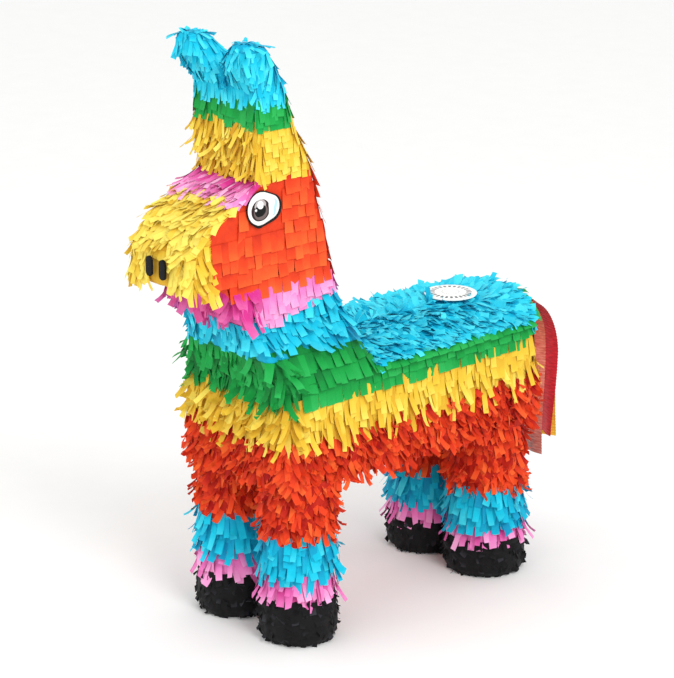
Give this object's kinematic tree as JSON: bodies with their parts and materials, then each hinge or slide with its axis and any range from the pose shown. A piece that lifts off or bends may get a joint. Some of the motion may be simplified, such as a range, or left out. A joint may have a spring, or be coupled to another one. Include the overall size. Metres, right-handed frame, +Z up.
{
  "type": "pinata",
  "caption": "Donkey-shaped party pinata: a hollow card body on card tubes, skinned in bands of fringed tissue, with a fill flap in the back and a tail of crepe streamers.",
  "frame": {"origin": "centre of the donkey's box on the floor, between the hooves", "axes": "+Z up, the donkey faces -Y, its left side is +X"},
  "size_m": [0.156, 0.491, 0.555],
  "materials": {
    "black_paper": "matt",
    "corrugated_card": "kraft, matt",
    "crepe_blue": "crepe, matt",
    "crepe_orange": "crepe, matt",
    "crepe_red": "crepe, matt",
    "crepe_salmon": "crepe, matt",
    "crepe_teal": "crepe, matt",
    "crepe_yellow": "crepe, matt",
    "hanger_board": "solid board, matt",
    "printed_paper": "coated, semi-matt",
    "tissue_black": "tissue, matt",
    "tissue_blue": "tissue, matt",
    "tissue_green": "tissue, matt",
    "tissue_orange": "tissue, matt",
    "tissue_pink": "tissue, matt",
    "tissue_yellow": "tissue, matt",
    "wire": "drawn"
  },
  "bodies": {
    "body": {"body_side_left": "corrugated_card", "body_side_right": "corrugated_card", "back_panel": "corrugated_card", "belly_panel": "corrugated_card", "chest_panel": "corrugated_card", "rump_panel": "corrugated_card", "head_side_left": "corrugated_card", "head_side_right": "corrugated_card", "muzzle_plate": "corrugated_card", "nose_bridge_strip": "corrugated_card", "forehead_strip": "corrugated_card", "crown_strip": "corrugated_card", "nape_strip": "corrugated_card", "throat_strip": "corrugated_card", "jaw_strip": "corrugated_card", "ear_left": "corrugated_card", "ear_right": "corrugated_card", "shoulder_gusset_left": "corrugated_card", "shoulder_gusset_right": "corrugated_card", "hanger_plate": "hanger_board", "leg_tube_front_left": "corrugated_card", "leg_tube_front_right": "corrugated_card", "leg_tube_rear_left": "corrugated_card", "leg_tube_rear_right": "corrugated_card", "hoof_sole_front_left": "corrugated_card", "hoof_sole_front_right": "corrugated_card", "hoof_sole_rear_left": "corrugated_card", "hoof_sole_rear_right": "corrugated_card", "tissue_back_blue": "tissue_blue", "tissue_body_green": "tissue_green", "tissue_body_yellow": "tissue_yellow", "tissue_body_orange": "tissue_orange", "tissue_chest_blue": "tissue_blue", "tissue_collar_pink": "tissue_pink", "tissue_cheek_orange": "tissue_orange", "tissue_muzzle_yellow": "tissue_yellow", "tissue_brow_pink": "tissue_pink", "tissue_crown_yellow": "tissue_yellow", "tissue_crown_green": "tissue_green", "tissue_crown_blue": "tissue_blue", "tissue_ear_left": "tissue_blue", "tissue_ear_right": "tissue_blue", "tissue_leg_orange": "tissue_orange", "tissue_leg_blue": "tissue_blue", "tissue_leg_pink": "tissue_pink", "tissue_hoof_black": "tissue_black", "eye_left": "printed_paper", "eye_right": "printed_paper", "nostrils": "black_paper", "tail_wire": "wire"},
    "fill_flap": {"fill_flap": "corrugated_card", "flap_tissue": "tissue_blue", "paper_seal": "printed_paper"},
    "tail": {"streamer_blue": "crepe_blue", "streamer_orange": "crepe_orange", "streamer_salmon": "crepe_salmon", "streamer_red": "crepe_red", "streamer_yellow": "crepe_yellow", "streamer_teal": "crepe_teal"}
  },
  "joints": [
    {"name": "flap_hinge", "type": "hinge", "parent": "body", "child": "fill_flap", "pos_m": [0, 0.13345, 0.2663], "axis": [-1, 0, 0], "range_deg": [0, 115]},
    {"name": "tail_swing", "type": "hinge", "parent": "body", "child": "tail", "pos_m": [0, 0.18905, 0.24], "axis": [1, 0, 0], "range_deg": [0, 60]}
  ]
}
